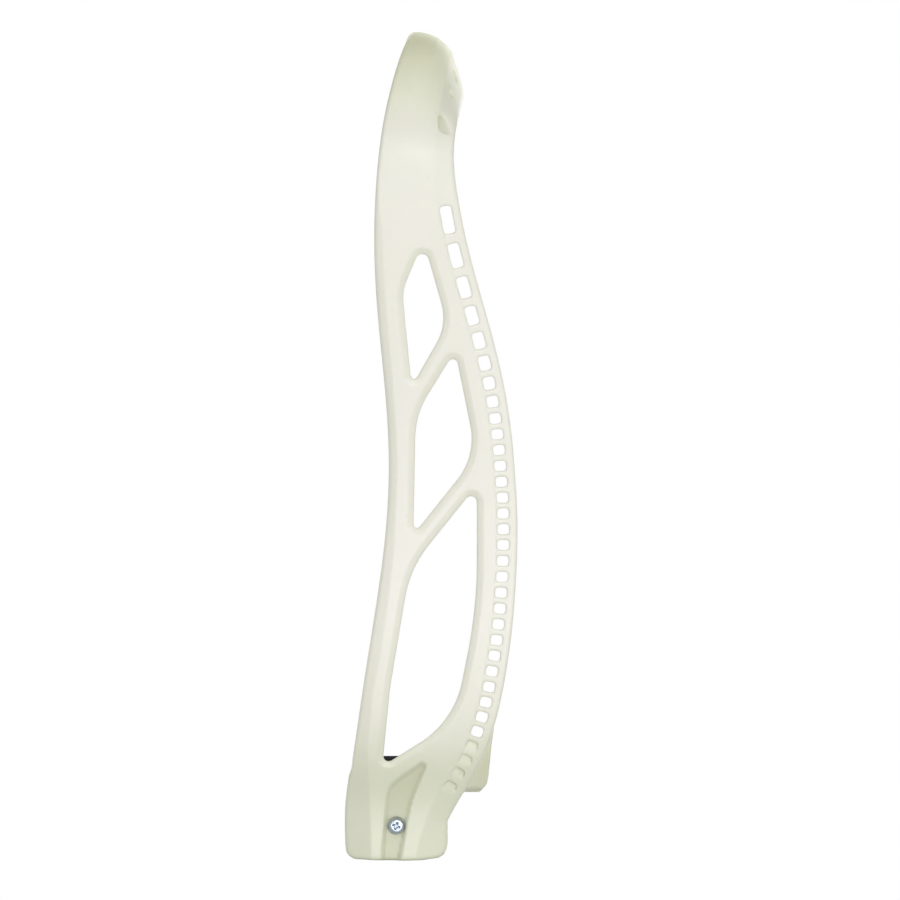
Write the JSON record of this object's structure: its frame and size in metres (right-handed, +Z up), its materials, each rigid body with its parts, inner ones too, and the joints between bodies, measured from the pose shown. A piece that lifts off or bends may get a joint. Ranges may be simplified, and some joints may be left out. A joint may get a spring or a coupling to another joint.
{
  "type": "lacrosse head",
  "caption": "Unstrung lacrosse head: open moulded scoop and windowed sidewalls over an octagonal shaft socket, with a foam ball stop and a head screw.",
  "frame": {"origin": "centre of the shaft socket's mouth", "axes": "+Z up the shaft's axis to the scoop, -Y the face where the ball comes in, +X the side the screw goes in from"},
  "size_m": [0.163, 0.0618, 0.2962],
  "materials": {
    "nylon": "satin moulded nylon, off-white",
    "foam": "black closed-cell foam",
    "film": "double-sided adhesive film",
    "screw": "zinc-plated steel"
  },
  "bodies": {
    "head": {"throat": "nylon", "sidewall_right": "nylon", "sidewall_left": "nylon", "scoop": "nylon", "ball_stop_foam": "foam", "adhesive_film": "film"},
    "screw": {"head_screw": "screw"}
  },
  "joints": [
    {"name": "screw_back_out", "type": "slide", "parent": "head", "child": "screw", "axis": [1, 0, 0], "range_m": [0, 0.024]}
  ]
}
